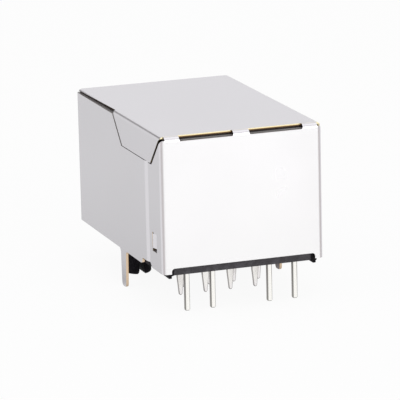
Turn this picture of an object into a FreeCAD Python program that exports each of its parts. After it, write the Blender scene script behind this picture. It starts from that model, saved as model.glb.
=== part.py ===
import FreeCAD, Part
import math
import os

# Ethernet jack with built-in magnetics and two indicator lamps, for a printed circuit board.
# Millimetres. The origin lies midway between the two locating posts, on the board's surface.
# +Z is up, away from the board; the plug goes in along +Y; left and right are as seen from the port.

V = FreeCAD.Vector

# Driving dimensions: the folded shield
width = 16.15
depth = 25.55
height = 13.65
sheet = 0.25
bend_mid_r = 0.35
port_to_posts = 10.95
seam = 0.08
front_seam = 0.28
rear_seam = 0.32
lap_gap = 0.04
wall_low = 0.25
punch_r = 0.15

# Driving dimensions: the standard board footprint
post_pitch = 11.43
post_r = 1.3
post_length = 2.85
pin_pitch = 2.54
far_row = 6.35
near_row = 8.89
lamp_row = 13.58
lamp_lead_x = (5.43, 2.86)
lead_length = 3.4
blade_length = 3.15
tab_y = 2.78

# Driving dimensions: the plug's port, latch down
port_wide = 11.9
port_tall = 6.9
port_deep = 12.0
port_floor = 4.2
latch_steps = ((6.3, 2.6, 9.8), (3.9, 1.1, 8.8))
contact_count = 8
contact_pitch = 1.02

# The shield's faces, and the middle planes of its sheet
half = width / 2
y_front = -port_to_posts
y_rear = y_front + depth
x_mid = half - sheet / 2
y_front_mid = y_front + sheet / 2
y_rear_mid = y_rear - sheet / 2
z_mid = height - sheet / 2
bend_r = bend_mid_r + sheet / 2
x_lap = x_mid - sheet - lap_gap
fit_gap = 0.1
far_out = 40.0


def place(plane, u, v, w):
    """Point of a drawing plane, named by its two axes, at the height w along the third axis."""
    return {"XY": V(u, v, w), "YZ": V(w, u, v), "XZ": V(u, w, v)}[plane]


def extrude(plane, edges, low, high):
    """Solid between two heights over a closed outline drawn at the lower one."""
    lift = place(plane, 0, 0, high - low)
    return Part.Face(Part.Wire(edges)).extrude(lift)


def corner_arc(before, corner, after, radius):
    """Centre of the round that joins two runs, with its unit directions to start, middle and end."""
    a = (before - corner).normalize()
    b = (after - corner).normalize()
    half_angle = a.getAngle(b) / 2
    middle = (a + b).normalize()
    centre = corner + middle * (radius / math.sin(half_angle))
    reach = radius / math.tan(half_angle)
    start = (corner + a * reach - centre).normalize()
    end = (corner + b * reach - centre).normalize()
    return centre, (start, middle * -1, end)


def joined(points, arcs):
    """Edges through the points of an open line, where each inner corner is an arc's three points."""
    edges = []
    here = points[0]
    for start, middle, end in arcs:
        edges.append(Part.LineSegment(here, start).toShape())
        edges.append(Part.Arc(start, middle, end).toShape())
        here = end
    edges.append(Part.LineSegment(here, points[1]).toShape())
    return edges


def prism(plane, corners, low, high):
    """Solid with a polygon section; a corner with a third number has that radius."""
    flat = [place(plane, c[0], c[1], low) for c in corners]
    edges = []
    first = None
    here = None
    for i, corner in enumerate(corners):
        stop = start = flat[i]
        arc = None
        if len(corner) == 3:
            radius = corner[2]
            centre, turn = corner_arc(flat[i - 1], flat[i], flat[(i + 1) % len(flat)], radius)
            stop, middle, start = [centre + d * radius for d in turn]
            arc = Part.Arc(stop, middle, start).toShape()
        if here is None:
            first = stop
        else:
            edges.append(Part.LineSegment(here, stop).toShape())
        if arc:
            edges.append(arc)
        here = start
    edges.append(Part.LineSegment(here, first).toShape())
    return extrude(plane, edges, low, high)


def strip(plane, path, thickness, radius, low, high):
    """Bent strip: a sheet of one thickness that follows a path of its middle plane, with round bends."""
    flat = [place(plane, u, v, low) for u, v in path]
    normal = place(plane, 0, 0, 1)
    sides = {1: [], -1: []}
    for i in range(1, len(flat) - 1):
        centre, turn = corner_arc(flat[i - 1], flat[i], flat[i + 1], radius)
        ahead = flat[i] - flat[i - 1]
        turns_left = normal.cross(ahead).dot(flat[i + 1] - flat[i]) > 0
        for side in sides:
            outward = -side if turns_left else side
            sides[side].append([centre + d * (radius + outward * thickness / 2) for d in turn])
    first_way = normal.cross(flat[1] - flat[0]).normalize()
    last_way = normal.cross(flat[-1] - flat[-2]).normalize()
    ends = {}
    for side in sides:
        out = side * thickness / 2
        ends[side] = (flat[0] + first_way * out, flat[-1] + last_way * out)
    edges = joined(ends[1], sides[1])
    edges.append(Part.LineSegment(ends[1][1], ends[-1][1]).toShape())
    edges += joined(ends[-1], sides[-1])
    edges.append(Part.LineSegment(ends[-1][0], ends[1][0]).toShape())
    return extrude(plane, Part.__sortEdges__(edges), low, high)


def block(x, y, z):
    """Square-cornered space between pairs of limits, used to cut pockets and channels."""
    return Part.makeBox(x[1] - x[0], y[1] - y[0], z[1] - z[0], V(x[0], y[0], z[0]))


def mirrored(shape):
    """The same shape on the other side of the jack's middle plane."""
    return shape.mirror(V(0, 0, 0), V(1, 0, 0))


def both_sides(shape):
    """A right-hand shape and its left-hand twin."""
    return [shape, mirrored(shape)]


def fused(shapes):
    """One solid from several that overlap or share faces."""
    return shapes[0].multiFuse(shapes[1:]).removeSplitter()


def save(name, shape):
    """Write one piece."""
    shape.exportStep("parts/" + name + ".step")


os.makedirs("parts", exist_ok=True)

# Shield: one nickel-plated brass sheet. Both side walls and the top fold back from the front frame,
# the rear folds down from the top, and its wings lap the stepped-in ends of the side walls.
flap_front = 0.5
flap_low_front = 3.35
flap_low_rear = 11.6
flap_slope_rear = 14.38
flap_end = 14.2
flap_low = 10.68
flap_r = 0.2
lip_angles = (math.radians(47), math.radians(19))
wing_front = 10.93
wing_low = 0.52
wing_corner = 0.48
wing_top = 13.33
slot_in = 0.8
slot_out = 6.15
slot_reach = 0.52
slot_low = 13.18
rear_notch = 7.2
rear_notch_top = 1.06
joggle_front = 9.9
joggle_rear = 11.0
side_end = y_rear - 0.4
side_notch = 8.6
side_notch_top = 0.84
side_notch_r = 0.5
side_notch_in_r = 0.08
window = (11.75, 12.95, 2.26, 4.05)
tang = (11.78, 12.95, 2.55, 4.02)
relief = (11.92, 4.03)
relief_r = 0.1
tab_half = (0.78, 0.7, 0.58)
tab_root_r = 0.45
tab_tip_r = 0.4
tang_root = 0.5
tang_bend_r = 0.3
notch_r = 0.3
wall_gap = 0.13
frame_wide = 6.95
frame_top = 12.5
frame_r = 0.4

wall_top = height - sheet - wall_gap
flat_half = half - bend_r
lip_front = y_front + 2 * sheet
rear_slope = (flap_slope_rear - flap_low_rear) / (height - flap_low)
flap_end_low = flap_low + (flap_end - flap_low_rear) / rear_slope
wing_slope_low = flap_low_rear + rear_seam * math.hypot(1, rear_slope) - seam * rear_slope
wing_slope_top = wing_slope_low + (wing_top - flap_low + seam) * rear_slope
front_slope = (flap_low_front - flap_front) / (height - flap_low)
side_slope_low = flap_low_front - front_seam * math.hypot(1, front_slope) + seam * front_slope
side_slope_top = side_slope_low - (wall_top - flap_low + seam) * front_slope

half_wrap = [(x_lap, side_end), (x_lap, joggle_rear), (x_mid, joggle_front), (x_mid, y_front_mid)]
wrap = strip("XY", half_wrap + [(-x, y) for x, y in reversed(half_wrap)], sheet, bend_mid_r,
             -lead_length, height)
side_outline = [
    (y_front, wall_low), (tab_y - tab_half[0], wall_low, tab_root_r),
    (tab_y - tab_half[1], -lead_length / 2), (tab_y - tab_half[2], -lead_length, tab_tip_r),
    (tab_y + tab_half[2], -lead_length, tab_tip_r), (tab_y + tab_half[1], -lead_length / 2),
    (tab_y + tab_half[0], wall_low, tab_root_r),
    (side_notch, wall_low, side_notch_r), (side_notch, side_notch_top, side_notch_in_r),
    (side_end, side_notch_top), (side_end, flap_low - seam), (side_slope_low, flap_low - seam),
    (side_slope_top, wall_top), (y_front, wall_top)]
wrap = wrap.common(prism("YZ", side_outline, -far_out, far_out))

hood_path = [(y_front_mid, wall_low), (y_front_mid, z_mid), (y_rear_mid, z_mid), (y_rear_mid, wing_low)]
hood = strip("YZ", hood_path, sheet, bend_mid_r, -flat_half, flat_half)

fold = strip("XZ", [(x_mid, flap_low), (x_mid, z_mid), (-x_mid, z_mid), (-x_mid, flap_low)],
             sheet, bend_mid_r, lip_front, flap_end)
flap_outline = [(flap_front, height), (flap_low_front, flap_low, flap_r), (flap_low_rear, flap_low, flap_r),
                (flap_end, flap_end_low), (flap_end, height)]
flaps = fold.common(prism("YZ", flap_outline, -far_out, far_out))


def above_bend(y, angle):
    """Section of the space above two lines that leave the bends' centres at an angle from upright."""
    centre = V(flat_half, y, height - bend_r)
    end = centre + V(math.sin(angle), 0, math.cos(angle)) * (2 * bend_r)
    corners = [centre, end, V(-end.x, y, end.z), V(-centre.x, y, centre.z), centre]
    return Part.makePolygon(corners)


lip_ends = [above_bend(lip_front, lip_angles[0]), above_bend(flap_front, lip_angles[1])]
lips = fold.common(Part.makeLoft(lip_ends, True, True))

wings = strip("XY", [(x_mid, wing_front), (x_mid, y_rear_mid), (-x_mid, y_rear_mid), (-x_mid, wing_front)],
              sheet, bend_mid_r, wing_low, wing_top)
wing_outline = [
    (wing_front, wing_low + wing_corner), (wing_front + wing_corner, wing_low, flap_r), (y_rear, wing_low),
    (y_rear, wing_top), (wing_slope_top, wing_top), (wing_slope_low, flap_low - seam, flap_r),
    (wing_front, flap_low - seam)]
wings = wings.common(prism("YZ", wing_outline, -far_out, far_out))
wings = wings.cut(block((-flat_half, flat_half), (y_rear - 2 * sheet, y_rear), (height - bend_r, height)))
window_hole = block((x_lap - sheet, half + sheet), window[:2], window[2:])
tang_tip = strip("XY", [(x_lap, tang[1] + tang_root), (x_lap, tang[1]), (half - sheet / 2, tang[0])],
                 sheet, tang_bend_r, *tang[2:])
tang_relief = Part.makeCylinder(relief_r, 3 * sheet, V(half - 2 * sheet, *relief), V(1, 0, 0))

slot = prism("XZ", [(slot_in, slot_low, punch_r), (slot_out, slot_low, punch_r), (slot_out, height + sheet),
                    (slot_in, height + sheet)], y_rear - slot_reach, y_rear + sheet)
rear_cut = prism("XZ", [(-rear_notch, -sheet), (rear_notch, -sheet), (rear_notch, rear_notch_top, notch_r),
                        (-rear_notch, rear_notch_top, notch_r)], y_rear - 2 * sheet, y_rear + sheet)
frame_cut = prism("XZ", [(-frame_wide, -sheet), (frame_wide, -sheet), (frame_wide, frame_top, frame_r),
                         (-frame_wide, frame_top, frame_r)], y_front - sheet, y_front + 2 * sheet)

shield = fused([wrap, hood, lips, flaps, wings])
shield = shield.cut(both_sides(slot) + both_sides(window_hole) + [rear_cut, frame_cut])
shield = fused([shield] + both_sides(tang_tip)).cut(both_sides(tang_relief))
save("shield", shield)

# Lamps: two diffused blocks that show in the lower corners of the face, each on two long square leads
# that run back over the pin base, step inwards behind the pins and turn down through it.
lamp_x = (4.55, 6.75)
lamp_z = (1.0, 3.2)
lamp_back = -5.0
lamp_bevel = 0.25
face = y_front + fit_gap / 2
lead = 0.5
lead_z = 2.15
lead_run_x = (6.25, 5.15)
lead_step = ((11.0, 12.2), (10.6, 12.6))
lead_turn_r = 0.55
lead_bend_r = 0.4

lamp = prism("XZ", [(lamp_x[0], lamp_z[0] + lamp_bevel), (lamp_x[0] + lamp_bevel, lamp_z[0]),
                    (lamp_x[1] - lamp_bevel, lamp_z[0]), (lamp_x[1], lamp_z[0] + lamp_bevel),
                    (lamp_x[1], lamp_z[1] - lamp_bevel), (lamp_x[1] - lamp_bevel, lamp_z[1]),
                    (lamp_x[0] + lamp_bevel, lamp_z[1]), (lamp_x[0], lamp_z[1] - lamp_bevel)],
             face, lamp_back)


def lamp_lead(run_x, step, end_x):
    """One right-hand lead: a flat bent run over the base, then a round turn down to the board."""
    turn_start = lamp_row - 2 * lead_turn_r
    run = strip("XY", [(run_x, lamp_back), (run_x, step[0]), (end_x, step[1]), (end_x, turn_start + lead)],
                lead, lead_bend_r, lead_z - lead / 2, lead_z + lead / 2)
    drop = strip("YZ", [(turn_start, lead_z), (lamp_row, lead_z), (lamp_row, -lead_length)],
                 lead, lead_turn_r, end_x - lead / 2, end_x + lead / 2)
    return fused([run, drop])


leads = [lamp_lead(*sizes) for sizes in zip(lead_run_x, lead_step, lamp_lead_x)]
for side, turn in (("right", lambda shape: shape), ("left", mirrored)):
    save("lamp_" + side, turn(lamp))
    save("lamp_lead_" + side + "_outer", turn(leads[0]))
    save("lamp_lead_" + side + "_inner", turn(leads[1]))

# Signal pins: eight flat stamped blades in two staggered rows, with tapered tips below the board
# and narrow posts above the base for the coil wires.
base_low = 0.3
base_top = 1.9
blade = 0.68
blade_thick = 0.3
blade_tip = 0.34
blade_tip_bevel = 0.1
blade_taper = -1.4
wrap_post = 0.44
wrap_post_low = 2.15
wrap_post_top = 4.0


def signal_pin(x, y):
    """One blade at its place in the footprint."""
    right = [(blade_tip / 2 - blade_tip_bevel, -blade_length),
             (blade_tip / 2, blade_tip_bevel - blade_length), (blade / 2, blade_taper),
             (blade / 2, base_top), (wrap_post / 2, wrap_post_low), (wrap_post / 2, wrap_post_top)]
    outline = [(x + u, v) for u, v in right] + [(x - u, v) for u, v in reversed(right)]
    return prism("XZ", outline, y - blade_thick / 2, y + blade_thick / 2)


pins = []
for i in range(contact_count):
    pin_x = (i - (contact_count - 1) / 2) * pin_pitch / 2
    pins.append(signal_pin(pin_x, near_row if i % 2 else far_row))
    save("signal_pin_%d" % (i + 1), pins[i])

# Coils: four ferrite rings on edge in cradles of the base, two transformers and two chokes,
# each wound with spaced turns of enamelled wire.
ring_out = 1.9
ring_in = 0.85
ring_long = 1.6
wire = 0.17
wire_slack = 0.01
turns = 12
coil_x = 2.2
coil_rows = (4.85, 10.3)
coil_sink = 0.2
coil_r = ring_out + wire
coil_z = base_top + coil_r - coil_sink


def ring(centre):
    """Ferrite ring, axis along Y."""
    low = centre - V(0, ring_long / 2, 0)
    bore = Part.makeCylinder(ring_in, ring_long, low, V(0, 1, 0))
    return Part.makeCylinder(ring_out, ring_long, low, V(0, 1, 0)).cut(bore)


def winding(centre):
    """Spaced square turns round the ring's section."""
    frames = []
    for out in (wire, wire_slack):
        end = ring_long / 2 + out
        frames.append(block((ring_in - out, ring_out + out), (-end, end), (-wire / 2, wire / 2)))
    turn = frames[0].cut(frames[1])
    shapes = []
    for i in range(turns):
        copy = turn.copy()
        copy.rotate(V(0, 0, 0), V(0, 1, 0), (i + 0.5) * 360 / turns)
        copy.translate(centre)
        shapes.append(copy)
    return Part.makeCompound(shapes)


coil_places = [V(x, y, coil_z) for y in coil_rows for x in (-coil_x, coil_x)]
for i, centre in enumerate(coil_places):
    save("coil_ring_%d" % (i + 1), ring(centre))
    save("coil_winding_%d" % (i + 1), winding(centre))

# Pin base: black moulded floor of the rear chamber, formed round the pins and the lamp leads,
# with a cradle under each coil and two columns under the inner board.
chamber_half = 6.88
chamber_front = 2.7
base_rear = y_rear - sheet - fit_gap
board_low = 11.05
column = ((3.45, 4.9), (13.0, base_rear))

base = prism("XY", [(-chamber_half, chamber_front), (chamber_half, chamber_front), (chamber_half, base_rear),
                    (-chamber_half, base_rear)], base_low, base_top)
columns = both_sides(block(*column, (base_top, board_low)))
cradles = []
for centre in coil_places:
    long = ring_long + 2 * wire
    cradle_r = math.hypot(coil_r, wire / 2)
    cradles.append(Part.makeCylinder(cradle_r, long, centre - V(0, long / 2, 0), V(0, 1, 0)))
base = fused([base] + columns)
base = base.cut(cradles + pins + leads + [mirrored(shape) for shape in leads])
save("pin_base", base)

# Contacts: eight sprung wires side by side. Each starts on a pad of the inner board, runs forward,
# folds round the carrier's nose and slopes back down into the port.
board_thick = 0.8
contact = 0.46
contact_thick = 0.3
contact_bend_r = 0.35
contact_back = 4.6
nose = -8.3
nose_low = 10.9
contact_tip = (1.75, 8.7)
board_top = board_low + board_thick
contact_z = board_top + contact_thick / 2
contact_places = [(i - (contact_count - 1) / 2) * contact_pitch for i in range(contact_count)]

for i, x in enumerate(contact_places):
    path = [(contact_back, contact_z), (nose, contact_z), (nose, nose_low), contact_tip]
    shape = strip("YZ", path, contact_thick, contact_bend_r, x - contact / 2, x + contact / 2)
    save("contact_%d" % (i + 1), shape)

# Contact carrier: black comb. Its plate carries the wires between ribs under the roof, and its
# rear block closes the port, guides the wires' tips in slots and carries the board's front edge.
port_top = port_floor + port_tall
port_back = y_front + port_deep
roof_low = 12.4
carrier_half = 6.42
plate_front = nose + 0.2
plate_r = 0.3
block_half = 5.85
block_low = 7.8
block_back = 2.8
ledge_back = 3.7
rib = 0.4
rib_front = nose + 0.7
tip_slot = (0.66, 0.9, 8.0, 9.4)

plate = prism("YZ", [(plate_front, port_top, plate_r), (block_back, port_top), (block_back, board_top),
                     (plate_front, board_top, plate_r)], -carrier_half, carrier_half)
rear_block = prism("YZ", [(port_back, block_low), (ledge_back, block_low), (ledge_back, board_low),
                          (block_back, board_low), (block_back, board_top), (port_back, board_top)],
                   -block_half, block_half)
ribs = []
for i in range(contact_count + 1):
    rib_x = (i - contact_count / 2) * contact_pitch
    ribs.append(block((rib_x - rib / 2, rib_x + rib / 2), (rib_front, block_back), (port_top, roof_low)))
slots = []
for x in contact_places:
    slots.append(block((x - tip_slot[0] / 2, x + tip_slot[0] / 2),
                       (port_back - sheet, port_back + tip_slot[1]), tip_slot[2:]))
save("contact_carrier", fused([plate, rear_block] + ribs).cut(slots))

# Inner board: joins the contacts on its front pads to the coils below it. It lies on the carrier's
# ledge in front and on the base's columns at the rear.
board_half = 6.6
board_front = block_back + fit_gap / 2
board_rear = 13.9
board_r = 0.5

board = prism("XY", [(-board_half, board_front), (board_half, board_front),
                     (board_half, board_rear, board_r), (-board_half, board_rear, board_r)],
              board_low, board_top)
save("circuit_board", board)

# Matching resistors and the high-voltage capacitor, soldered under the inner board.
resistor = (1.6, 0.8, 0.45, 0.3)
resistor_count = 4
resistor_row = 7.6
resistor_pitch = 2.6
capacitor = (4.5, 2.0, 1.5, 0.6)
capacitor_row = 11.2
cap_step = 0.03


def chip(x, y, long, wide, tall, cap):
    """Chip part: a body between two end caps that stand slightly proud of it."""
    low = board_low - tall
    body = block((x - long / 2, x + long / 2), (y - wide / 2 + cap_step, y + wide / 2 - cap_step),
                 (low + cap_step, board_low - cap_step))
    ends = [block((x + start, x + start + cap), (y - wide / 2, y + wide / 2), (low, board_low))
            for start in (-long / 2, long / 2 - cap)]
    return fused([body] + ends)


for i in range(resistor_count):
    place_x = (i - (resistor_count - 1) / 2) * resistor_pitch
    save("resistor_%d" % (i + 1), chip(place_x, resistor_row, *resistor))
save("capacitor", chip(0, capacitor_row, *capacitor))

# Housing: black moulded body. The port and the lamp pockets open to the front, the chamber behind
# is open below and to the rear, and two split posts and four feet stand under it.
body_half = half - sheet - 0.08
body_front = y_front + sheet + fit_gap / 2
body_rear_half = x_lap - sheet / 2 - 0.03
body_top = height - sheet - 0.15
body_r = 0.3
body_step = 0.3
face_gap = 0.07
face_half = frame_wide - face_gap
channel = ((4.85, 6.55), (lamp_back, chamber_front + sheet), (1.85, 2.45))
rear_foot = ((7.08, 7.4), (8.6, base_rear))
front_foot = ((6.0, 7.3), (y_front + 0.8, y_front + 2.6))
post_slot = 0.5
post_slot_top = -0.6
post_slot_r = 0.24
post_flare = 0.44
post_flare_top = 0.4 - post_length
post_bevel = 0.15
port_r = 0.2
overlap = 0.5

half_plan = [(body_half, body_front, body_r), (body_half, joggle_front - body_step),
             (body_rear_half, joggle_rear - body_step), (body_rear_half, base_rear)]
body = prism("XY", half_plan + [(-c[0],) + c[1:] for c in reversed(half_plan)], wall_low, body_top)
face_plate = prism("XZ", [(-face_half, wall_low), (face_half, wall_low),
                          (face_half, frame_top - face_gap, frame_r),
                          (-face_half, frame_top - face_gap, frame_r)], face, y_front + 2 * sheet)
feet = []
for x, (low, high) in (rear_foot, front_foot):
    foot = prism("YZ", [(low, wall_low), (low + wall_low, 0), (high, 0), (high, wall_low)], *x)
    feet += both_sides(foot)

post_line = [V(0, 0, wall_low), V(post_r, 0, wall_low), V(post_r, 0, post_bevel - post_length),
             V(post_r - post_bevel, 0, -post_length), V(0, 0, -post_length), V(0, 0, wall_low)]
post = Part.Face(Part.makePolygon(post_line)).revolve(V(0, 0, 0), V(0, 0, 1), 360)
split = prism("XZ", [(-post_slot / 2, post_slot_top, post_slot_r),
                     (post_slot / 2, post_slot_top, post_slot_r), (post_slot / 2, post_flare_top),
                     (post_flare, -post_length - sheet), (-post_flare, -post_length - sheet),
                     (-post_slot / 2, post_flare_top)], -2 * post_r, 2 * post_r)
post = post.cut(split)
post.translate(V(post_pitch / 2, 0, 0))

port = prism("XZ", [(-port_wide / 2, port_floor, port_r), (port_wide / 2, port_floor, port_r),
                    (port_wide / 2, port_top), (-port_wide / 2, port_top)], y_front - overlap, port_back)
latch = []
for wide, low, deep in latch_steps:
    latch.append(block((-wide / 2, wide / 2), (y_front - overlap, y_front + deep),
                       (low, port_floor + overlap)))
chamber_back = chamber_front + overlap
chamber = block((-chamber_half, chamber_half), (chamber_front, far_out), (-overlap, roof_low))
carrier_way = block((-carrier_half, carrier_half), (nose - overlap, chamber_back), (port_top, roof_low))
block_way = block((-block_half, block_half), (port_back, chamber_back), (block_low, roof_low))
lamp_ways = both_sides(lamp) + both_sides(block(*channel))

housing = fused([body, face_plate] + feet + both_sides(post))
housing = housing.cut([port, chamber, carrier_way, block_way] + latch + lamp_ways)
save("housing", housing.removeSplitter())
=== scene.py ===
import math

import bmesh
import bpy
from mathutils import Matrix, Vector


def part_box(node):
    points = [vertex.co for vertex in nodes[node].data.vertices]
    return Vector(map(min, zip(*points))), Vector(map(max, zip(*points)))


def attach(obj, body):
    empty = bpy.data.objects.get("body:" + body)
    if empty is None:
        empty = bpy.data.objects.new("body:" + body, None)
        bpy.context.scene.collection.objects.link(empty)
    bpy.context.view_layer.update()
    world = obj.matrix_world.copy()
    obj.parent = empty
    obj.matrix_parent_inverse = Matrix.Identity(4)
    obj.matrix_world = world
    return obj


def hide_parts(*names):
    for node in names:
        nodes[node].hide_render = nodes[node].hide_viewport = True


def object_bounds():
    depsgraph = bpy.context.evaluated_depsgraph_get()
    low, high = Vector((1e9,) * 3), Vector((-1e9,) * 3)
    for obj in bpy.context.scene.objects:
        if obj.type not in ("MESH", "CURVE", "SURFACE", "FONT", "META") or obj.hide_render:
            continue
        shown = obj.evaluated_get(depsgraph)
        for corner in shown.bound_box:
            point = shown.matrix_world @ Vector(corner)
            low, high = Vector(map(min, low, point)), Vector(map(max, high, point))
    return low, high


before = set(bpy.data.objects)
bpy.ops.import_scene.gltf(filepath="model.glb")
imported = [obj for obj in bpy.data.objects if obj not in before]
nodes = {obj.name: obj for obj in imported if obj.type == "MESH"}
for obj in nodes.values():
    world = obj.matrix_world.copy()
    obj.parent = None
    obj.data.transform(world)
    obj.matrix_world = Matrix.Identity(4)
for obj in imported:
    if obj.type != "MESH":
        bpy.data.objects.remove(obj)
cad_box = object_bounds()

# Housing: the black body of the jack, with the port, the lamp pockets, four feet and two split posts.
# It is injection moulded in one piece, so its edges are slightly round and its skin has a fine even grain.
# The shield is folded round it. Its top is painted grey: a painted sheen of the light that falls on it from
# above.
MM = 0.001
JOIN_WITHIN = 0.001 * MM
FLAT_WITHIN = math.radians(0.2)
SHARP_ANGLE = math.radians(35)
HOUSING_ROUND = 0.06 * MM
HOUSING_DARK = (0.008, 0.007, 0.009)
# Lighter random patches: partly blotches in the plastic, partly painted glints of gloss.
HOUSING_BLOTCH_AND_GLINT = (0.021, 0.0175, 0.0235)
BLOTCH_AND_GLINT_FROM = (0.4, 0.7)
# Above this height the plastic is painted a lighter grey: a painted sheen of light falling on its top.
SHEEN_ABOVE = (13.12 * MM, 13.22 * MM)
PAINTED_SHEEN_GREY = (0.27, 0.255, 0.255)
UNEVEN_GLOSS = 0.12
GRAIN_GLOSS = 0.08
GRAIN_DEPTH = 0.006 * MM


class Wire:
    """A node socket that takes part in Python expressions; each operator adds its Math node."""

    def __init__(self, socket):
        self.socket = socket

    def node(self, kind, settings=None, sockets=None, output=0):
        """Any other node of the same tree: its settings come first, then its values and links."""
        tree = self.socket.id_data
        own = tree.bl_idname == "GeometryNodeTree" and hasattr(bpy.types, "GeometryNode" + kind)
        made = tree.nodes.new(("GeometryNode" if own else "ShaderNode") + kind)
        for name, value in (settings or {}).items():
            setattr(made, name, value)
        for name, value in (sockets or {}).items():
            feed(made.inputs[name], value)
        return Wire(made.outputs[output])

    def math(self, operation, first, second=0.0):
        return self.node("Math", {"operation": operation}, {0: first, 1: second})

    def __add__(self, other):
        return self.math("ADD", self, other)

    def __radd__(self, other):
        return self.math("ADD", other, self)

    def __sub__(self, other):
        return self.math("SUBTRACT", self, other)

    def __rsub__(self, other):
        return self.math("SUBTRACT", other, self)

    def __mul__(self, other):
        return self.math("MULTIPLY", self, other)

    def __rmul__(self, other):
        return self.math("MULTIPLY", other, self)

    def __abs__(self):
        return self.math("ABSOLUTE", self)

    def at_most(self, limit):
        return self.math("MINIMUM", self, limit)

    def at_least(self, limit):
        return self.math("MAXIMUM", self, limit)

    def step(self, start, end):
        """0 before start, 1 past end and smooth between; end may be the lower of the two."""
        return self.node("MapRange", {"interpolation_type": "SMOOTHSTEP"},
                         {"Value": self, "From Min": start, "From Max": end})

    def span(self, start, end):
        """A number from start to end as this value goes from 0 to 1."""
        return start + (end - start) * self

    def mix(self, first, second):
        """A colour from first to second as this value goes from 0 to 1."""
        return self.node("Mix", {"data_type": "RGBA"}, {0: self, 6: first, 7: second}, 2)

    def noise(self, per_mm, detail=2, stretch=(1, 1, 1)):
        """Noise from 0 to 1 over these coordinates, with that many lumps to a millimetre."""
        spread = self.node("Mapping", {}, {"Vector": self, "Scale": stretch})
        return self.node("TexNoise", {}, {"Vector": spread, "Scale": per_mm / MM, "Detail": detail})

    def axis(self, name):
        return self.node("SeparateXYZ", {}, {0: self}, name)


def feed(socket, value):
    """Link a wire to a socket, or set the socket's own value; a colour may leave out its alpha."""
    if isinstance(value, Wire):
        socket.id_data.links.new(value.socket, socket)
    elif socket.type == "RGBA" and len(value) == 3:
        socket.default_value = (*value, 1)
    else:
        socket.default_value = value


def finish(name, **sockets):
    """A new material, its shader's inputs with these uniform values set, and its Object coordinates."""
    material = bpy.data.materials.new(name)
    material.use_nodes = True
    tree = material.node_tree
    shader = tree.nodes["Principled BSDF"]
    for socket, value in sockets.items():
        feed(shader.inputs[socket.replace("_", " ").title().replace("Ior", "IOR")], value)
    return material, shader.inputs, Wire(tree.nodes.new("ShaderNodeTexCoord").outputs["Object"])


def grain(height, depth):
    """Normal of a surface that a height wire raises by up to a depth."""
    return height.node("Bump", {}, {"Height": height, "Distance": depth, "Strength": 1.0})


def joined_copy(node):
    """A CAD piece's mesh as one closed skin: its loose triangles joined, and flat ones made whole faces."""
    shape = bmesh.new()
    shape.from_mesh(nodes[node].data)
    bmesh.ops.remove_doubles(shape, verts=shape.verts, dist=JOIN_WITHIN)
    bmesh.ops.dissolve_limit(shape, angle_limit=FLAT_WITHIN, verts=shape.verts, edges=shape.edges)
    return shape


def new_piece(name, shape, material):
    """An object from a shape, in its material, shaded smooth."""
    mesh = bpy.data.meshes.new(name)
    shape.to_mesh(mesh)
    shape.free()
    mesh.materials.append(material)
    mesh.polygons.foreach_set("use_smooth", [True] * len(mesh.polygons))
    piece = bpy.data.objects.new(name, mesh)
    bpy.context.scene.collection.objects.link(piece)
    return piece


def bake(piece):
    """Keep what a piece's modifiers make of it as its plain mesh."""
    depsgraph = bpy.context.evaluated_depsgraph_get()
    mesh = bpy.data.meshes.new_from_object(piece.evaluated_get(depsgraph))
    piece.modifiers.clear()
    piece.data = mesh
    return piece


def evened(piece):
    """Weigh a piece's normals by area, so that its flat faces stay flat beside its bends."""
    piece.modifiers.new("even_normals", "WEIGHTED_NORMAL").keep_sharp = True
    return bake(piece)


def rounded(piece, radius, segments=2):
    """Round a piece's sharp edges."""
    bevel = piece.modifiers.new("round_edges", "BEVEL")
    bevel.width = radius
    bevel.segments = segments
    bevel.limit_method = "ANGLE"
    bevel.angle_limit = SHARP_ANGLE
    bevel.use_clamp_overlap = False
    return evened(piece)


def seat(piece, slot, *replaced):
    """Fix a finished piece to the jack, in place of the CAD pieces that it stands for."""
    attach(piece, "root")
    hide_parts(*replaced)


def moulded_black(name, dark, blotch_and_glint, shine, roughness):
    """Moulded black plastic: lighter random patches, partly blotches and partly painted glints, uneven gloss
    and a fine grain, and a painted grey sheen of light at the top.
    """
    material, shader, place = finish(name, specular_ior_level=shine)
    cloud = place.noise(per_mm=0.4, detail=3)
    fine = place.noise(per_mm=9)
    # Lighter random patches, partly blotches and partly painted glints of gloss.
    blotches_and_glints = place.noise(per_mm=2).step(*BLOTCH_AND_GLINT_FROM)
    # Painted sheen: the top is painted grey in place of the light that falls on it.
    top_sheen = place.axis("Z").step(*SHEEN_ABOVE)
    feed(shader["Base Color"], top_sheen.mix(blotches_and_glints.mix(dark, blotch_and_glint), PAINTED_SHEEN_GREY))
    feed(shader["Roughness"], roughness + UNEVEN_GLOSS * cloud + GRAIN_GLOSS * fine)
    feed(shader["Normal"], grain(fine, GRAIN_DEPTH))
    return material


black_plastic = moulded_black("black_plastic", HOUSING_DARK, HOUSING_BLOTCH_AND_GLINT, shine=0.07, roughness=0.4)
housing = new_piece("housing_moulding", joined_copy("housing"), black_plastic)
seat(rounded(housing, HOUSING_ROUND), "black_plastic", "housing")

# Lamps: two diffused blocks of milky resin that show in the lower corners of the port's face.
# Each is cast round its two leads and slides into a pocket of the housing.
LAMP_ROUND = 0.08 * MM
LAMP_TINTS = {"left": (0.52, 0.74, 0.42), "right": (0.86, 0.7, 0.36)}
RESIN_CLOUDING = 0.85
RESIN_ROUGHNESS = (0.22, 0.32)
RESIN_COAT = (0.3, 0.5)
RESIN_DEPTH = 0.003 * MM
LIGHT_SPREAD = 0.5 * MM
LIGHT_REACH = (1.0, 0.9, 0.7)


def darker(tone, share):
    """A tone with only this share of its light."""
    return [share * part for part in tone]


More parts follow.
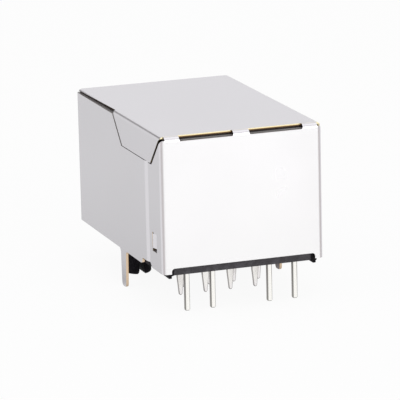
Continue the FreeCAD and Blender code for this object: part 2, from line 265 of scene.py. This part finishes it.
def diffused_resin(name, tint):
    """Milky resin: light goes in and spreads, with a faint cloud of the filler and a glossy skin."""
    material, shader, place = finish(name, subsurface_weight=0.35, subsurface_scale=LIGHT_SPREAD,
                                     subsurface_radius=LIGHT_REACH, coat_roughness=0.12)
    cloud = place.noise(per_mm=1.2, detail=3)
    feed(shader["Base Color"], cloud.mix(darker(tint, RESIN_CLOUDING), tint))
    feed(shader["Roughness"], cloud.span(*RESIN_ROUGHNESS))
    feed(shader["Coat Weight"], cloud.span(*RESIN_COAT))
    feed(shader["Normal"], grain(place.noise(per_mm=5), RESIN_DEPTH))
    return material


for side, tint in LAMP_TINTS.items():
    resin = diffused_resin(f"resin_{side}", tint)
    lamp = new_piece(f"lamp_block_{side}", joined_copy(f"lamp_{side}"), resin)
    seat(rounded(lamp, LAMP_ROUND), "lamp_resin", f"lamp_{side}")

# Contact carrier: the black comb that holds the contacts under the port's roof and closes its back.
# It is moulded from a slightly glossier plastic than the housing and pushed in from behind.
CARRIER_ROUND = 0.03 * MM
CARRIER_DARK = (0.01, 0.01, 0.011)
# Lighter random patches, partly blotches and partly painted glints.
CARRIER_BLOTCH_AND_GLINT = (0.018, 0.018, 0.02)
carrier_plastic = moulded_black("carrier_plastic", CARRIER_DARK, CARRIER_BLOTCH_AND_GLINT, shine=0.2, roughness=0.34)
carrier = new_piece("contact_comb", joined_copy("contact_carrier"), carrier_plastic)
seat(rounded(carrier, CARRIER_ROUND), "carrier_plastic", "contact_carrier")

# Contacts: eight sprung wires of phosphor bronze with a gold flash, rolled nearly flat.
# Each is bent round the comb's nose and slopes back down into the port, where the plug lifts it.
CONTACT_COUNT = 8
CONTACT_ROUND = 0.07 * MM
GOLD_TONES = ((0.86, 0.6, 0.24), (1.0, 0.78, 0.38))
GOLD_ROUGHNESS = (0.16, 0.3)
GOLD_DEPTH = 0.002 * MM
ALONG_CONTACT = (1, 0.08, 0.2)
gold_flash, shader, place = finish("gold_flash", metallic=1.0, ior=1.5)
drawn = place.noise(per_mm=6, stretch=ALONG_CONTACT)
feed(shader["Base Color"], drawn.mix(*GOLD_TONES))
feed(shader["Roughness"], drawn.span(*GOLD_ROUGHNESS))
feed(shader["Normal"], grain(drawn, GOLD_DEPTH))


def begin_tree(name, **inputs):
    """A new geometry tree, and the wires of its named inputs."""
    tree = bpy.data.node_groups.new(name, "GeometryNodeTree")
    for label, kind in {"Geometry": "Geometry", **inputs, "Material": "Material"}.items():
        tree.interface.new_socket(label, in_out="INPUT", socket_type="NodeSocket" + kind)
    tree.interface.new_socket("Geometry", in_out="OUTPUT", socket_type="NodeSocketGeometry")
    given = {socket.name: Wire(socket) for socket in tree.nodes.new("NodeGroupInput").outputs if socket.name}
    return tree, given


def end_tree(tree, given, made):
    """Close a geometry tree: its copies become real and take on their material."""
    solid = made.node("RealizeInstances", {}, {"Geometry": made})
    dressed = made.node("SetMaterial", {}, {"Geometry": solid, "Material": given["Material"]})
    feed(tree.nodes.new("NodeGroupOutput").inputs[0], dressed)
    return tree


def row_tree():
    """Copies of a piece in a row, with every second one moved aside."""
    tree, given = begin_tree("row", Count="Int", Step="Vector", Stagger="Vector")
    piece = given["Geometry"]
    index = piece.node("InputIndex")
    aside = piece.node("VectorMath", {"operation": "SCALE"},
                       {0: given["Stagger"], "Scale": index.math("MODULO", index, 2.0)})
    line = piece.node("MeshLine", {"mode": "OFFSET"}, {"Count": given["Count"], "Offset": given["Step"]})
    places = piece.node("SetPosition", {}, {"Geometry": line, "Offset": aside})
    return end_tree(tree, given, piece.node("InstanceOnPoints", {}, {"Points": places, "Instance": piece}))


def grow(piece, tree, **values):
    """Run a geometry tree on a piece with these inputs, and keep the result as its plain mesh."""
    modifier = piece.modifiers.new(tree.name, "NODES")
    modifier.node_group = tree
    for item in tree.interface.items_tree:
        if item.in_out == "INPUT" and item.name in values:
            modifier[item.identifier] = values[item.name]
    return bake(piece)


def offset(node, other):
    """How far one CAD piece stands from its twin."""
    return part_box(other)[0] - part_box(node)[0]


copies_in_row = row_tree()
contacts = [f"contact_{i + 1}" for i in range(CONTACT_COUNT)]
contact_step = offset(contacts[0], contacts[1])
wires = rounded(new_piece("contact_wires", joined_copy(contacts[0]), gold_flash), CONTACT_ROUND)
grow(wires, copies_in_row, Count=CONTACT_COUNT, Step=contact_step, Stagger=(0, 0, 0), Material=gold_flash)
seat(wires, "contact_gold", *contacts)

# Inner board: glass laminate with a green mask, which joins the contacts' pads to the coils' wires.
# It lies on the comb's ledge and on the pin base's columns, out of sight.
PADS_BEFORE = (4.9 * MM, 4.8 * MM)
PAD_HALF_WIDE = (0.3 * MM, 0.24 * MM)
PAD_TIN = (0.75, 0.73, 0.68)
MASK_TONES = ((0.02, 0.16, 0.06), (0.035, 0.24, 0.09))
MASK_COAT = 0.5
BOARD_ROUGHNESS = (0.32, 0.42)
WEAVE_DEPTH = 0.004 * MM
ALONG_WEAVE = (1, 0.25, 1)
laminate, shader, place = finish("board_laminate", coat_roughness=0.15)
weave = place.noise(per_mm=3, stretch=ALONG_WEAVE)
across = place.axis("X")
strips = across.math("PINGPONG", across, contact_step.x / 2).step(*PAD_HALF_WIDE)
pads = strips * place.axis("Y").step(*PADS_BEFORE)
feed(shader["Base Color"], pads.mix(weave.mix(*MASK_TONES), PAD_TIN))
feed(shader["Metallic"], pads)
feed(shader["Roughness"], weave.span(*BOARD_ROUGHNESS))
feed(shader["Coat Weight"], pads.span(MASK_COAT, 0))
feed(shader["Normal"], grain(weave, WEAVE_DEPTH))


def dress(node, material):
    """Give a CAD piece that keeps its own shape its material."""
    nodes[node].data.materials.clear()
    nodes[node].data.materials.append(material)


dress("circuit_board", laminate)

# Chip parts: four matching resistors and a high-voltage capacitor, soldered under the inner board.
# Each is a ceramic body between two tinned end caps.
RESISTOR_COUNT = 4
RESISTOR_BLACK = (0.05, 0.05, 0.055)
RESISTOR_CAP = 0.3 * MM
CAPACITOR_TAN = (0.42, 0.3, 0.19)
CAPACITOR_CAP = 0.6 * MM
CAP_TIN = (0.76, 0.75, 0.73)
CAP_EDGE = 0.1
CAP_SMOOTHNESS = 0.15
CERAMIC_SPECKLE = 0.8
CERAMIC_ROUGHNESS = (0.5, 0.6)
CERAMIC_DEPTH = 0.005 * MM


def chip_ceramic(name, node, tone, cap):
    """Ceramic body with tinned caps at both ends of the longest side."""
    material, shader, place = finish(name)
    low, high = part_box(node)
    middle = (low.x + high.x) / 2
    cap_start = (high.x - low.x) / 2 - cap
    caps = abs(place.axis("X") - middle).step(cap_start, cap_start + CAP_EDGE * cap)
    speck = place.noise(per_mm=5, detail=3)
    feed(shader["Base Color"], caps.mix(speck.mix(darker(tone, CERAMIC_SPECKLE), tone), CAP_TIN))
    feed(shader["Metallic"], caps)
    feed(shader["Roughness"], speck.span(*CERAMIC_ROUGHNESS) - CAP_SMOOTHNESS * caps)
    feed(shader["Normal"], grain(speck, CERAMIC_DEPTH))
    dress(node, material)


for i in range(1, RESISTOR_COUNT + 1):
    chip_ceramic(f"resistor_ceramic_{i}", f"resistor_{i}", RESISTOR_BLACK, RESISTOR_CAP)
chip_ceramic("capacitor_ceramic", "capacitor", CAPACITOR_TAN, CAPACITOR_CAP)

# Coils: ferrite rings with a painted coat, each wound with spaced turns of enamelled copper wire.
# They stand in the cradles of the pin base and are out of sight.
COIL_COUNT = 4
RING_BORE = 0.85 * MM
COIL_WIRE = 0.085 * MM
COIL_TURNS = 12
POINTS_IN_TURN = 32
WIRE_SIDES = 8
WOUND_SHARE = 0.94
SQUARENESS = 1.3
FERRITE_TONES = ((0.035, 0.036, 0.04), (0.09, 0.09, 0.095))
FERRITE_ROUGHNESS = (0.5, 0.7)
FERRITE_DEPTH = 0.01 * MM
COPPER_TONES = ((0.5, 0.17, 0.07), (0.72, 0.3, 0.13))
COPPER_ROUGHNESS = (0.22, 0.34)
ferrite, shader, place = finish("ferrite")
speck = place.noise(per_mm=4, detail=4)
feed(shader["Base Color"], speck.mix(*FERRITE_TONES))
feed(shader["Roughness"], speck.span(*FERRITE_ROUGHNESS))
feed(shader["Normal"], grain(speck, FERRITE_DEPTH))
copper, shader, place = finish("enamelled_copper", metallic=1.0, coat_weight=0.6, coat_roughness=0.1)
drawn = place.noise(per_mm=5)
feed(shader["Base Color"], drawn.mix(*COPPER_TONES))
feed(shader["Roughness"], drawn.span(*COPPER_ROUGHNESS))


def winding_tree():
    """A round wire wound about the squarish section of a ring that lies across the Y axis."""
    tree, given = begin_tree("winding", Centre="Vector", Ring="Float", Wide="Float", Long="Float",
                             Wire="Float", Turns="Int")
    start = given["Geometry"]
    points = given["Turns"] * float(POINTS_IN_TURN)
    index = start.node("InputIndex")
    swing = index.math("DIVIDE", index, points) * math.tau
    spin = swing * given["Turns"]

    def edge(wave):
        return (SQUARENESS * spin.math(wave, spin)).at_most(1.0).at_least(-1.0)

    reach = given["Ring"] + given["Wide"] * edge("COSINE")
    bearing = swing * WOUND_SHARE
    spot = start.node("CombineXYZ", {}, {"X": reach * bearing.math("COSINE", bearing),
                                         "Y": given["Long"] * edge("SINE"),
                                         "Z": reach * bearing.math("SINE", bearing)})
    spot = start.node("VectorMath", {"operation": "ADD"}, {0: spot, 1: given["Centre"]})
    line = start.node("MeshLine", {}, {"Count": points})
    bent = start.node("SetPosition", {}, {"Geometry": line, "Position": spot})
    path = start.node("MeshToCurve", {}, {0: bent})
    section = start.node("CurvePrimitiveCircle", {}, {"Resolution": WIRE_SIDES, "Radius": given["Wire"]})
    wire = start.node("CurveToMesh", {}, {"Curve": path, "Profile Curve": section, "Fill Caps": True})
    return end_tree(tree, given, start.node("SetShadeSmooth", {}, {0: wire}))


winding = winding_tree()
for i in range(1, COIL_COUNT + 1):
    dress(f"coil_ring_{i}", ferrite)
    low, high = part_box(f"coil_ring_{i}")
    ring_out, half_long = (high.x - low.x) / 2, (high.y - low.y) / 2
    turns = new_piece(f"coil_wire_{i}", bmesh.new(), copper)
    grow(turns, winding, Centre=(low + high) / 2, Ring=(ring_out + RING_BORE) / 2,
         Wide=(ring_out - RING_BORE) / 2 + COIL_WIRE, Long=half_long + COIL_WIRE, Wire=COIL_WIRE,
         Turns=COIL_TURNS, Material=copper)
    seat(turns, "enamelled_copper", f"coil_winding_{i}")

# Pin base: the black floor of the rear chamber, moulded round the pins and the lamp leads.
# Its rear edge shows as a dark strip under the shield.
BASE_ROUND = 0.04 * MM
BASE_DARK = (0.054, 0.05, 0.056)
# Lighter random patches, partly blotches and partly painted glints.
BASE_BLOTCH_AND_GLINT = (0.076, 0.071, 0.08)
base_plastic = moulded_black("base_plastic", BASE_DARK, BASE_BLOTCH_AND_GLINT, shine=0.2, roughness=0.46)
base = new_piece("pin_base_moulding", joined_copy("pin_base"), base_plastic)
seat(rounded(base, BASE_ROUND), "base_plastic", "pin_base")

# Signal pins: eight flat blades stamped from brass strip and tinned, in two staggered rows.
# Their tips taper so that they find the board's holes.
PIN_COUNT = 8
PIN_ROUND = 0.08 * MM
PIN_BRIGHT = (0.88, 0.85, 0.85)
# Painted shade: the sides that face across X, and the downward ends, are painted darker.
PIN_SIDE_SHADE = (0.38, 0.365, 0.355)
PIN_SLANT = (0.05, 0.35)
TIN_END_SHADE = (0.07, 0.065, 0.06)
TIN_CLOUDING = 0.96
TIN_ROUGHNESS = (0.18, 0.23)
TIN_UNEVEN = 0.05
TIN_DEPTH = 0.0008 * MM
ALONG_PIN = (1, 1, 0.05)


def bright_tin(name, tone, side_shade_tone, slant):
    """Bright tin plate with faint draw lines along a pin, with painted shade on its sides that face across X
    and a darker painted shade on its downward end.

    The slant is the range of the surface's turn away from its bright faces over which the tones change."""
    material, shader, place = finish(name, metallic=1.0)
    drawn = place.noise(per_mm=7, stretch=ALONG_PIN)
    cloud = place.noise(per_mm=1.5, detail=3)
    facing = place.node("NewGeometry", {}, {}, "Normal")
    # Painted shade on the downward-facing end and on the sides that face across X.
    end = (0 - facing.axis("Z")).step(*slant)
    side_shade = abs(facing.axis("X")).step(*slant)
    bright = cloud.mix(darker(tone, TIN_CLOUDING), tone)
    feed(shader["Base Color"], end.mix(side_shade.mix(bright, side_shade_tone), TIN_END_SHADE))
    feed(shader["Roughness"], drawn.span(*TIN_ROUGHNESS) + TIN_UNEVEN * cloud)
    feed(shader["Normal"], grain(drawn, TIN_DEPTH))
    return material


pin_tin = bright_tin("pin_tin", PIN_BRIGHT, PIN_SIDE_SHADE, PIN_SLANT)
pins = [f"signal_pin_{i + 1}" for i in range(PIN_COUNT)]
blades = rounded(new_piece("pin_blades", joined_copy(pins[0]), pin_tin), PIN_ROUND, segments=3)
pitch = offset(pins[0], pins[2]) / 2
stagger = offset(pins[0], pins[1]) - pitch
grow(blades, copies_in_row, Count=PIN_COUNT, Step=pitch, Stagger=stagger, Material=pin_tin)
seat(blades, "pin_tin", *pins)

# Lamp leads: four long square wires, tinned, that run back from the lamps over the pin base.
# They step inwards behind the pins and turn down through the base at the rear.
LEAD_ROUND = 0.15 * MM
LEAD_BRIGHT = (0.97, 0.94, 0.935)
# Painted shade on the leads' sides that face across X.
LEAD_SIDE_SHADE = (0.24, 0.23, 0.22)
LEAD_SLANT = (0.3, 0.75)
lead_tin = bright_tin("lead_tin", LEAD_BRIGHT, LEAD_SIDE_SHADE, LEAD_SLANT)
for side in LAMP_TINTS:
    for row in ("outer", "inner"):
        lead = new_piece(f"lead_wire_{side}_{row}", joined_copy(f"lamp_lead_{side}_{row}"), lead_tin)
        seat(rounded(lead, LEAD_ROUND, segments=4), "lead_tin", f"lamp_lead_{side}_{row}")

# Shield: one sheet of nickel-plated brass, blanked and folded round the housing.
# The plate is satin with a faint rolling grain. The edges were cut after plating: bright brass at the outer
# skin, worn and torn further in and painted darker there as shade in the seams. Cut faces that turn up or
# sideways are painted dark as shade, those turned up a flat grey, and the tabs at the bottom painted duller
# as shade.
SKIN_AREA = 20 * MM * MM
SHIELD_MIDDLE = Vector((0, 2, 6)) * MM
PLATE_TONES = ((0.9, 0.88, 0.914), (0.94, 0.92, 0.956))
PLATE_ROUGHNESS = (0.23, 0.29)
ROLLED_DEPTH = 0.0002 * MM
ALONG_SHEET = (1, 0.06, 1)
INNER_SKIN = (0.8, 0.7, 0.66)
# Painted shade: the inner skin of the tabs at the bottom is painted dark.
INNER_TAB_SHADE = (0.25, 0.22, 0.22)
BRASS_TONES = ((0.97, 0.84, 0.54), (1.0, 0.89, 0.6))
# Painted shade: the tabs' cut edges are painted duller brass and pushed towards the darker tones.
TAB_SHADED_BRASS = (0.74, 0.57, 0.41)
# Partly worn and torn brass, partly painted shade in the seams, darker towards the inner skin.
WORN_AND_SHADED_BRASS = (0.5, 0.28, 0.08)
TORN_AND_SHADED_BRASS = (0.1, 0.065, 0.045)
# Painted shade: cut faces that turn up are a flat dull grey, and those turned up or sideways are darkened.
UPWARD_PAINTED_SHADE = (0.3, 0.28, 0.28)
TORN_ROUGHNESS = 0.2
TABS_BELOW = (4 * MM, 1 * MM)
TAB_SHADE_SHIFT = 0.5
FACING_FROM = (0.3, 0.6)
WORN_AND_SHADED_FROM = (0.25, 0.6)
TORN_AND_SHADED_FROM = (0.4, 0.7)


def mark_cut_edges(piece):
    """Mark the faces off the sheet's skins, each point's depth from outer to inner skin, and sharp edges."""
    shape = bmesh.new()
    shape.from_mesh(piece.data)
    cut = shape.faces.layers.float.new("cut_edge")
    depth = shape.verts.layers.float.new("sheet_depth")
    left = set(shape.faces)
    while left:
        patch = [left.pop()]
        for face in patch:
            for edge in face.edges:
                for other in edge.link_faces:
                    if other in left and other.normal.angle(face.normal) < SHARP_ANGLE:
                        left.discard(other)
                        patch.append(other)
        if sum(face.calc_area() for face in patch) < SKIN_AREA:
            for face in patch:
                face[cut] = 1.0
    for face in shape.faces:
        if face[cut] == 0 and face.normal.dot(face.calc_center_median() - SHIELD_MIDDLE) < 0:
            for vert in face.verts:
                vert[depth] = 1.0
    for edge in shape.edges:
        edge.smooth = edge.calc_face_angle(math.pi) < SHARP_ANGLE
    shape.to_mesh(piece.data)
    shape.free()


nickel, shader, place = finish("nickel_plate")
cut = place.node("Attribute", {"attribute_name": "cut_edge"}, {}, "Fac")
depth = place.node("Attribute", {"attribute_name": "sheet_depth"}, {}, "Fac")
cloud = place.noise(per_mm=0.12, detail=3)
rolled = place.noise(per_mm=3, detail=3, stretch=ALONG_SHEET)
facing = place.node("NewGeometry", {}, {}, "Normal")
upward = facing.axis("Z").step(*FACING_FROM)
sideways = 1 - abs(facing.axis("Y")).step(*FACING_FROM)
# The tabs at the bottom get painted shade on their inner skin and cut edges.
tabs = place.axis("Z").step(*TABS_BELOW)
inwards = depth - TAB_SHADE_SHIFT * tabs
# Darker further in: partly the sheared and torn zones, partly painted shade in the seams.
worn_and_shaded = inwards.step(*WORN_AND_SHADED_FROM)
# Cut faces that turn up or sideways are painted dark as shade.
torn_and_shaded = inwards.step(*TORN_AND_SHADED_FROM).at_least(upward).at_least(sideways)
skin = depth.mix(cloud.mix(*PLATE_TONES), tabs.mix(INNER_SKIN, INNER_TAB_SHADE))
brass = worn_and_shaded.mix(tabs.mix(cloud.mix(*BRASS_TONES), TAB_SHADED_BRASS), WORN_AND_SHADED_BRASS)
# Painted shade: upward cut faces grey and not metallic, the rest of the shaded ones dark brass.
brass = torn_and_shaded.mix(brass, upward.mix(TORN_AND_SHADED_BRASS, UPWARD_PAINTED_SHADE))
feed(shader["Base Color"], cut.mix(skin, brass))
feed(shader["Metallic"], 1 - cut * upward)
feed(shader["Roughness"], cloud.span(*PLATE_ROUGHNESS) + TORN_ROUGHNESS * (cut * torn_and_shaded))
feed(shader["Normal"], grain(rolled, ROLLED_DEPTH))
shield = new_piece("folded_shield", joined_copy("shield"), nickel)
mark_cut_edges(shield)
seat(evened(shield), "nickel_plate", "shield")

# Stage: a plain pale floor under the pins' tips, which is white to the eye and keeps the jack's soft shadow.
# In reflections its tone goes by the bearing from the nearer rear corner: white behind the jack, dusk off
# the corner, a pale card beside the jack and grey in front. Under the jack it goes from a dark painted
# shadow at the front to white.
FLOOR_HALF = 1200 * MM
FLOOR_PAINT = (0.9, 0.9, 0.9)
FLOOR_WHITE = 0.93
WHITE = (1, 1, 1)
REAR_CORNER = (8 * MM, 12 * MM)
FRONT_TONES = (0.585, 0.65)
FRONT_REACH = 60 * MM
CARD_FROM = (math.radians(-62), math.radians(-48))
CARD_TONE = 0.76
DUSK_FROM = (math.radians(-10), math.radians(20))
DUSK_TONE = (0.56, 0.53, 0.52)
REAR_FROM = (math.radians(45), math.radians(70))
REAR_TONE = (0.985, 1.0, 0.965)
UNDER_MIDDLE = 2 * MM
UNDER_WITHIN_X = (12 * MM, 7 * MM)
UNDER_WITHIN_Y = (16 * MM, 10 * MM)
UNDER_TURN = (0, 6 * MM)
UNDER_TONES = (0.35, 0.95)
floor_shape = bmesh.new()
bmesh.ops.create_grid(floor_shape, x_segments=1, y_segments=1, size=FLOOR_HALF)
floor_mesh = bpy.data.meshes.new("floor")
floor_shape.to_mesh(floor_mesh)
floor_shape.free()
floor_mesh.transform(Matrix.Translation((0, 0, cad_box[0].z)))
floor = bpy.data.objects.new("floor", floor_mesh)
bpy.context.scene.collection.objects.link(floor)


def sight(start):
    """Two wires that are 1 for rays from the eye, and for rays from gloss or through glass."""
    path = start.node("LightPath").socket.node.outputs
    mirrored = Wire(path["Is Glossy Ray"]) + Wire(path["Is Transmission Ray"])
    return Wire(path["Is Camera Ray"]), mirrored.at_most(1.0)


pale, shader, place = finish("pale_floor", base_color=FLOOR_PAINT, roughness=0.9)
tree = pale.node_tree
lit = Wire(tree.nodes["Principled BSDF"].outputs[0])
eye, gloss = sight(place)
across, along = abs(place.axis("X")), place.axis("Y")
bearing = across.math("ARCTAN2", along - REAR_CORNER[1], across - REAR_CORNER[0])
away = place.node("VectorMath", {"operation": "LENGTH"}, {0: place}, "Value")
rear = bearing.step(*REAR_FROM)
dusk = bearing.step(*DUSK_FROM) - rear
under = across.step(*UNDER_WITHIN_X) * abs(along - UNDER_MIDDLE).step(*UNDER_WITHIN_Y)
front_level = away.step(0, FRONT_REACH).span(*FRONT_TONES)
level = front_level + bearing.step(*CARD_FROM) * (CARD_TONE - front_level)
level = level + under * (along.step(*UNDER_TURN).span(*UNDER_TONES) - level)
tone = level.node("CombineColor", {}, {0: level, 1: level, 2: level})
tone = rear.mix(dusk.mix(tone, DUSK_TONE), REAR_TONE)
white = place.node("Emission", {}, {"Color": gloss.mix(WHITE, tone), "Strength": 1.0})
share = (FLOOR_WHITE * eye + gloss).at_most(1.0)
mixed = place.node("MixShader", {}, {0: share, 1: lit, 2: white})
feed(tree.nodes["Material Output"].inputs["Surface"], mixed)
floor_mesh.materials.append(pale)

# Backdrop: the white room round the stage, which lights the jack evenly from every side.
# In reflections it has two pale grey walls, and in front a dark gap that draws a thin line along the folds.
ROOM_LIGHT = 0.7
WALL_TONES = ((0.76, 0.76, 0.765), (0.695, 0.695, 0.695))
WALLS_MEET = (-0.1, 0.2)
GAP_TONE = (0.13, 0.12, 0.12)
GAP_LOW = (math.sin(math.radians(14)), math.sin(math.radians(18)))
GAP_HIGH = (math.sin(math.radians(26)), math.sin(math.radians(32)))
GAP_MIDDLE = 0.2
GAP_HALF_WIDE = (0.1, 0.2)
GAP_IN_FRONT = (-0.3, -0.6)
world = bpy.data.worlds.new("studio")
bpy.context.scene.world = world
world.use_nodes = True
tree = world.node_tree
room = Wire(tree.nodes["Background"].outputs[0])
feed(tree.nodes["Background"].inputs["Color"], WHITE)
feed(tree.nodes["Background"].inputs["Strength"], ROOM_LIGHT)
eye, gloss = sight(room)
way = Wire(tree.nodes.new("ShaderNodeTexCoord").outputs["Generated"])
rise = way.axis("Z")
gap = rise.step(*GAP_LOW) - rise.step(*GAP_HIGH)
gap = gap * way.axis("Y").step(*GAP_IN_FRONT) * (1 - abs(way.axis("X") - GAP_MIDDLE).step(*GAP_HALF_WIDE))
walls = gap.mix(way.axis("X").step(*WALLS_MEET).mix(*WALL_TONES), GAP_TONE)
white = room.node("Background", {}, {"Color": gloss.mix(WHITE, walls), "Strength": 1.0})
mixed = room.node("MixShader", {}, {0: (eye + gloss).at_most(1.0), 1: room, 2: white})
feed(tree.nodes["World Output"].inputs["Surface"], mixed)

# Softboxes: three square studio lamps, a large one behind the jack and weak ones above and beside it.
# They add soft highlights and a direction to the room's even light.


def softbox(name, place, target, size, watts):
    """A square area lamp that faces a point of the jack; its place and size are in millimetres."""
    data = bpy.data.lights.new(name, "AREA")
    data.energy = watts
    data.size = size * MM
    lamp = bpy.data.objects.new(name, data)
    bpy.context.scene.collection.objects.link(lamp)
    lamp.location = Vector(place) * MM
    lamp.rotation_euler = (Vector(target) - Vector(place)).to_track_quat("-Z", "Y").to_euler()


softbox("rear_softbox", place=(-140, 420, 60), target=(0, 14, 0), size=360, watts=0.7)
softbox("top_softbox", place=(-40, 20, 220), target=(0, 2, 12), size=160, watts=0.02)
softbox("side_softbox", place=(160, 40, 60), target=(7, 5, 5), size=120, watts=0.05)

# Camera: the photograph's view, from behind and above the jack's right-hand side.
# It has a long lens and stands far off, so the jack's edges run nearly parallel.
VIEW_AZIMUTH = math.radians(160.59)
VIEW_ELEVATION = math.radians(13.56)
VIEW_ROLL = math.radians(-1.335)
VIEW_DISTANCE = 317.35 * MM
VIEW_TARGET = Vector((-0.213, 1.9, 4.146)) * MM
SENSOR_MM = 36.0
LENS_MM = 292.82
NEAREST_SEEN = 10 * MM
flat = math.cos(VIEW_ELEVATION)
back = Vector((flat * math.sin(VIEW_AZIMUTH), -flat * math.cos(VIEW_AZIMUTH), math.sin(VIEW_ELEVATION)))
right = Matrix.Rotation(VIEW_ROLL, 3, back) @ Vector((0, 0, 1)).cross(back).normalized()
turned = Matrix((right, back.cross(right), back)).transposed().to_4x4()
camera_data = bpy.data.cameras.new("view")
camera_data.sensor_width = SENSOR_MM
camera_data.lens = LENS_MM
camera_data.clip_start = NEAREST_SEEN
camera = bpy.data.objects.new("view", camera_data)
bpy.context.scene.collection.objects.link(camera)
camera.matrix_world = Matrix.Translation(VIEW_TARGET + back * VIEW_DISTANCE) @ turned
bpy.context.scene.camera = camera
bpy.context.scene.view_settings.view_transform = "Standard"
